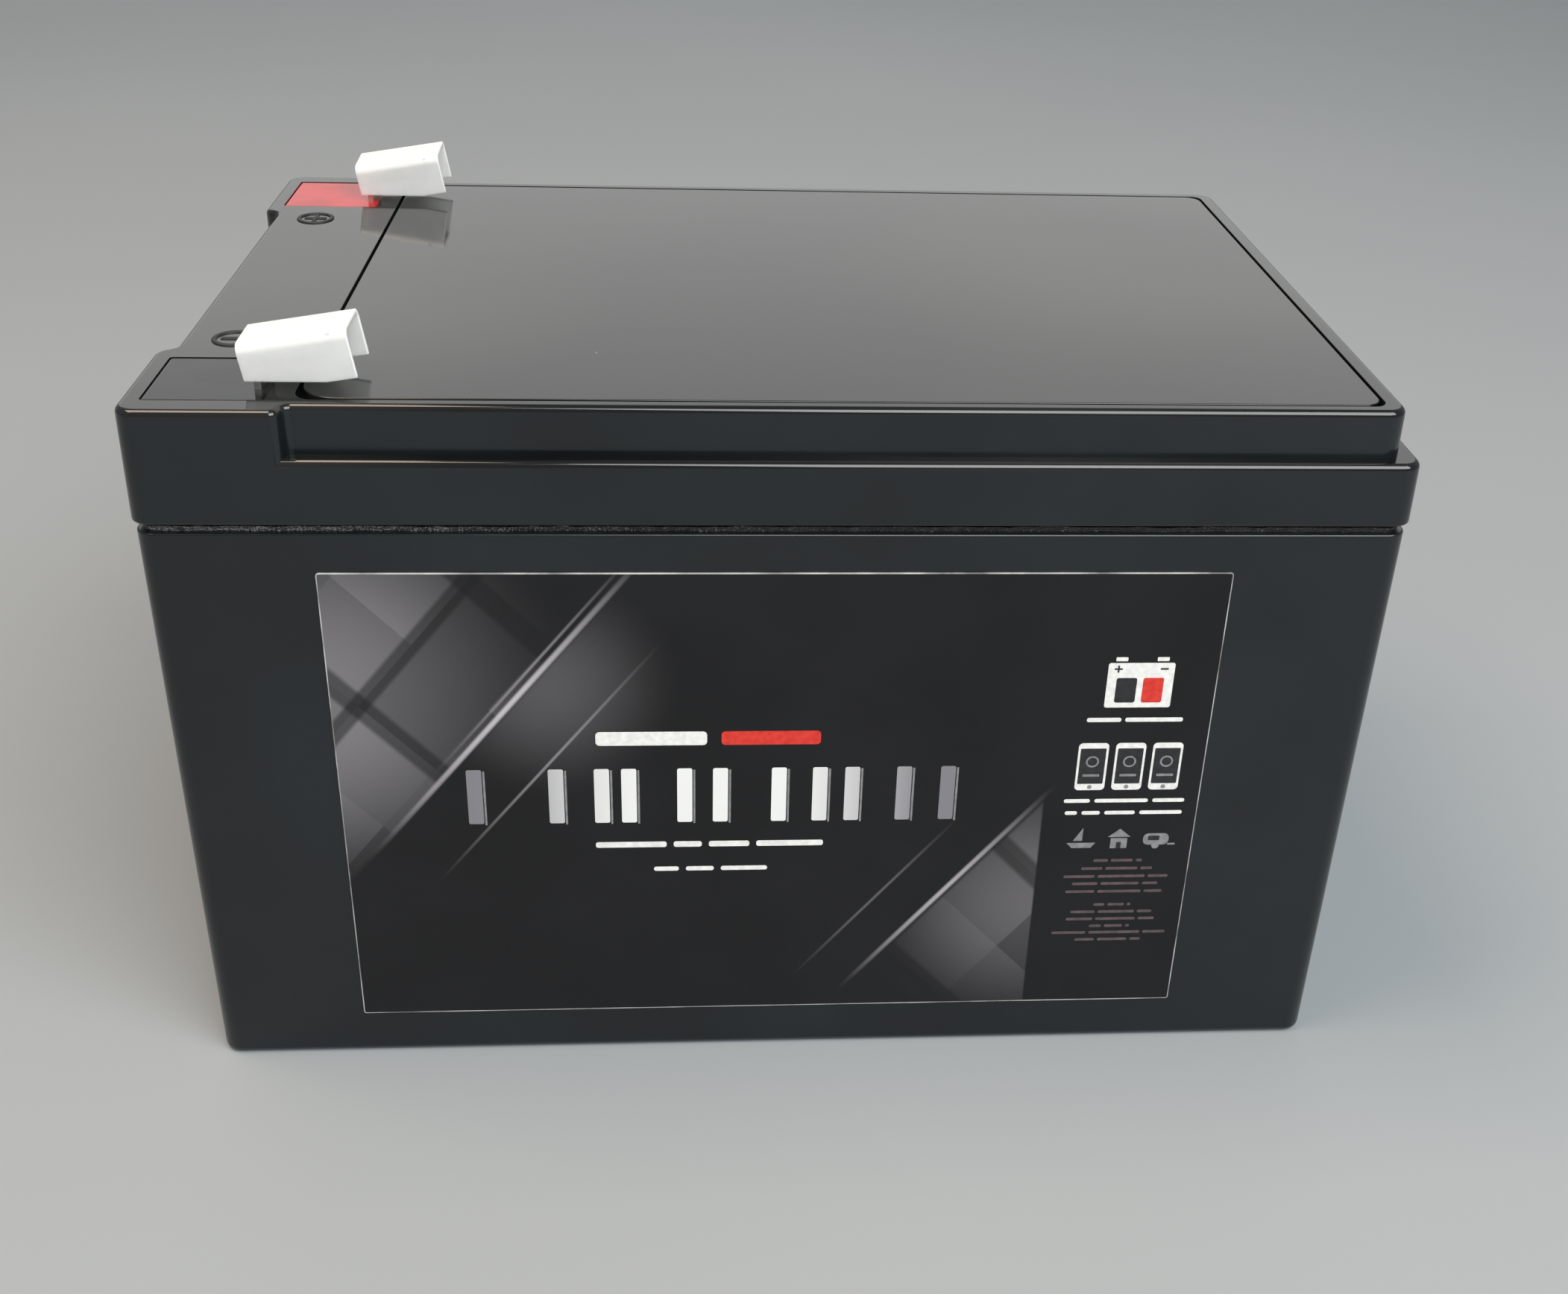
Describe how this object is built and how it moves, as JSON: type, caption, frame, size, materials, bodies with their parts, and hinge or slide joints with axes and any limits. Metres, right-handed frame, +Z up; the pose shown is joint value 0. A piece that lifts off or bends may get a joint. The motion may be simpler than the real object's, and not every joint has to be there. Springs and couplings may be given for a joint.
{
  "type": "deep cycle battery",
  "caption": "Sealed lithium deep cycle battery: black moulded case with a stepped lid, bent tab terminals under pull-off milky caps, and cells, nickel strips and a protection board inside.",
  "frame": {"origin": "middle of the case's underside, where the battery stands", "axes": "+Z up, +X along the case away from the terminal end, -Y towards the labelled front"},
  "size_m": [0.151, 0.098, 0.1018],
  "materials": {
    "moulded_abs": "injection-moulded black ABS, polished",
    "epoxy_adhesive": "grey speckled adhesive",
    "tinned_brass": "bright tin plating",
    "black_resin": "poured, glossy",
    "red_resin": "poured, glossy",
    "milky_polyethylene": "translucent milky moulding",
    "label_film": "printed film, semi-gloss",
    "cell_sleeve": "heat-shrunk PVC sleeve",
    "holder_plastic": "moulded, matt",
    "nickel_sheet": "nickel-plated steel sheet",
    "fibreglass_board": "glass-fibre laminate",
    "eva_foam": "closed-cell foam",
    "solder_resist": "solder resist on laminate",
    "moulded_package": "moulded epoxy package",
    "aluminium_plate": "extruded aluminium",
    "connector_nylon": "natural nylon",
    "red_silicone": "silicone insulation",
    "black_silicone": "silicone insulation",
    "thin_lead_pvc": "PVC insulation"
  },
  "bodies": {
    "battery": {"case": "moulded_abs", "lid": "moulded_abs", "cover_plate": "moulded_abs", "seam_adhesive": "epoxy_adhesive", "terminal_negative": "tinned_brass", "terminal_positive": "tinned_brass", "terminal_resin_negative": "black_resin", "terminal_resin_positive": "red_resin", "front_label": "label_film", "cell_1": "cell_sleeve", "cell_2": "cell_sleeve", "cell_3": "cell_sleeve", "cell_4": "cell_sleeve", "cell_5": "cell_sleeve", "cell_6": "cell_sleeve", "cell_7": "cell_sleeve", "cell_8": "cell_sleeve", "cell_holder_bottom": "holder_plastic", "cell_holder_top": "holder_plastic", "nickel_strip_bottom_1": "nickel_sheet", "nickel_strip_bottom_2": "nickel_sheet", "nickel_strip_top_1": "nickel_sheet", "nickel_strip_top_2": "nickel_sheet", "nickel_strip_top_3": "nickel_sheet", "insulation_board_bottom": "fibreglass_board", "insulation_board_top": "fibreglass_board", "foam_pad_bottom": "eva_foam", "foam_pad_front": "eva_foam", "foam_pad_back": "eva_foam", "foam_pad_left": "eva_foam", "foam_pad_right": "eva_foam", "foam_pad_board": "eva_foam", "bms_board": "solder_resist", "bms_mosfet_1": "moulded_package", "bms_mosfet_2": "moulded_package", "bms_mosfet_3": "moulded_package", "bms_mosfet_4": "moulded_package", "bms_heat_spreader": "aluminium_plate", "balance_connector": "connector_nylon", "wireless_module": "solder_resist", "lead_positive": "red_silicone", "lead_negative_output": "black_silicone", "lead_negative_pack": "black_silicone", "balance_lead_1": "thin_lead_pvc", "balance_lead_2": "thin_lead_pvc", "balance_lead_3": "thin_lead_pvc", "balance_lead_4": "thin_lead_pvc", "balance_lead_5": "thin_lead_pvc", "temperature_probe": "black_silicone"},
    "negative_cap": {"cap_negative": "milky_polyethylene"},
    "positive_cap": {"cap_positive": "milky_polyethylene"}
  },
  "joints": [
    {"name": "negative_cap_slide", "type": "slide", "parent": "battery", "child": "negative_cap", "axis": [0.9863, 0, 0.165], "range_m": [0, 0.0105]},
    {"name": "positive_cap_slide", "type": "slide", "parent": "battery", "child": "positive_cap", "axis": [0.9863, 0, 0.165], "range_m": [0, 0.0105]}
  ]
}
